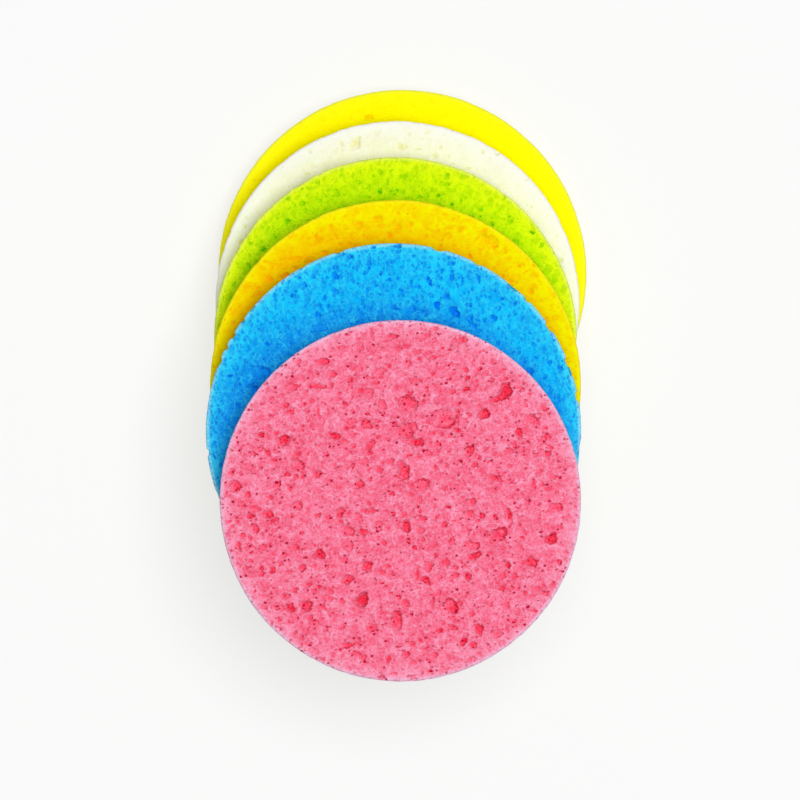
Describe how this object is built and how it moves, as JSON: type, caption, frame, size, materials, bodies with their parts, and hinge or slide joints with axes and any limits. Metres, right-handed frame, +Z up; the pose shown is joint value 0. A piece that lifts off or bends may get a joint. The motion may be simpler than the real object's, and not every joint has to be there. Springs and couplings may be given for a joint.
{
  "type": "cleansing sponge set",
  "caption": "Round flat cellulose facial cleansing sponges in plain colours, lying on each other in a fanned pile; each sponge lifts off.",
  "frame": {"origin": "on the table, under the middle of the whole pile's outline seen from above", "axes": "+Z up, through the sponges' flat faces; +Y from the pink top sponge towards the yellow bottom sponge, the way the pile fans out; +X to the right of someone who looks along +Y"},
  "size_m": [0.0832, 0.129, 0.0615],
  "materials": {
    "yellow_cellulose": "open-celled matte",
    "white_cellulose": "open-celled matte",
    "green_cellulose": "open-celled matte",
    "orange_cellulose": "open-celled matte",
    "blue_cellulose": "open-celled matte",
    "pink_cellulose": "open-celled matte"
  },
  "bodies": {
    "yellow": {"yellow_sponge": "yellow_cellulose"},
    "white": {"white_sponge": "white_cellulose"},
    "green": {"green_sponge": "green_cellulose"},
    "orange": {"orange_sponge": "orange_cellulose"},
    "blue": {"blue_sponge": "blue_cellulose"},
    "pink": {"pink_sponge": "pink_cellulose"}
  },
  "joints": [
    {"name": "white_lift", "type": "slide", "parent": "yellow", "child": "white", "axis": [0, 0, 1], "range_m": [0, 0.03]},
    {"name": "green_lift", "type": "slide", "parent": "white", "child": "green", "axis": [0, 0, 1], "range_m": [0, 0.03]},
    {"name": "orange_lift", "type": "slide", "parent": "green", "child": "orange", "axis": [0, 0, 1], "range_m": [0, 0.03]},
    {"name": "blue_lift", "type": "slide", "parent": "orange", "child": "blue", "axis": [0, 0, 1], "range_m": [0, 0.03]},
    {"name": "pink_lift", "type": "slide", "parent": "blue", "child": "pink", "axis": [0, 0, 1], "range_m": [0, 0.03]}
  ]
}
